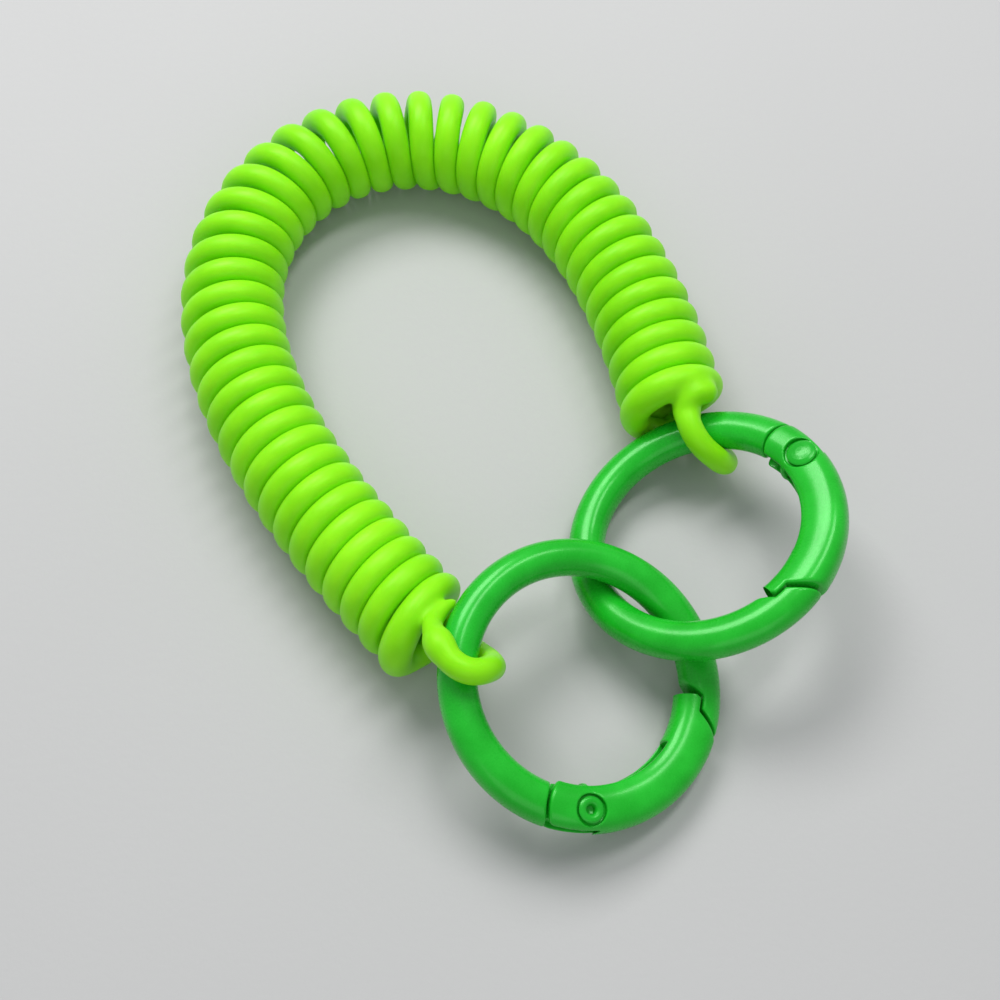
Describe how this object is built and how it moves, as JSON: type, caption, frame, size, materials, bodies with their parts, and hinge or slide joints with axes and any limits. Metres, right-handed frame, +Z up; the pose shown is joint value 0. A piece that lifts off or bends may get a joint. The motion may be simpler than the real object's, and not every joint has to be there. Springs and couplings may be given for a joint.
{
  "type": "spiral wrist coil with ring clips",
  "caption": "Springy plastic cord coil bent into a wrist loop, its hooked ends holding two linked metal rings with sprung gates.",
  "frame": {"origin": "on the table, below the middle of the whole object's bounding box", "axes": "+Z up from the table; +Y towards the closed end of the wrist loop, away from the rings; +X to the right"},
  "size_m": [0.083, 0.1044, 0.0182],
  "materials": {
    "band_plastic": "soft translucent lime plastic, satin",
    "frame_paint": "gloss green enamel on zinc",
    "gate_paint": "gloss green enamel on zinc",
    "rivet_paint": "green enamel on steel",
    "pusher_steel": "bare steel",
    "spring_steel": "bare spring wire"
  },
  "bodies": {
    "band": {"coil_band": "band_plastic"},
    "ring_a": {"frame_a": "frame_paint"},
    "gate_a": {"gate_a": "gate_paint", "rivet_a": "rivet_paint", "spring_a": "spring_steel"},
    "pusher_a": {"pusher_a": "pusher_steel"},
    "ring_b": {"frame_b": "frame_paint"},
    "gate_b": {"gate_b": "gate_paint", "rivet_b": "rivet_paint", "spring_b": "spring_steel"},
    "pusher_b": {"pusher_b": "pusher_steel"}
  },
  "joints": [
    {"name": "ring_a_swing", "type": "hinge", "parent": "band", "child": "ring_a", "pos_m": [-0.00397, -0.03259, 0.0121], "axis": [-0.6833, -0.7189, 0.1275], "range_deg": [0, 12]},
    {"name": "ring_b_swing", "type": "hinge", "parent": "band", "child": "ring_b", "pos_m": [0.02557, -0.0015, 0.00658], "axis": [-0.6833, -0.7189, 0.1275], "range_deg": [0, 12]},
    {"name": "gate_a_open", "type": "hinge", "parent": "ring_a", "child": "gate_a", "pos_m": [0.01015, -0.04964, 0.00513], "axis": [0.2881, -0.1481, 0.9461], "range_deg": [0, 28], "stiffness_Nm_per_rad": 0.008, "springref_deg": -20.05, "deforming": ["spring_a"]},
    {"name": "pusher_a_slide", "type": "slide", "parent": "gate_a", "child": "pusher_a", "axis": [0.9334, 0.264, -0.2429], "range_m": [0, 0.0008]},
    {"name": "gate_b_open", "type": "hinge", "parent": "ring_b", "child": "gate_b", "pos_m": [0.03732, -0.00869, 0.01216], "axis": [0.361, -0.1271, -0.9239], "range_deg": [0, 28], "stiffness_Nm_per_rad": 0.008, "springref_deg": -20.05, "deforming": ["spring_b"]},
    {"name": "pusher_b_slide", "type": "slide", "parent": "gate_b", "child": "pusher_b", "axis": [0.2555, -0.9393, 0.2291], "range_m": [0, 0.0008]}
  ],
  "couplings": [
    {"joint": "ring_b_swing", "follows": "ring_a_swing", "ratio": 1},
    {"joint": "pusher_a_slide", "follows": "gate_a_open", "m_per_rad": 0.00138},
    {"joint": "pusher_b_slide", "follows": "gate_b_open", "m_per_rad": 0.00138}
  ]
}
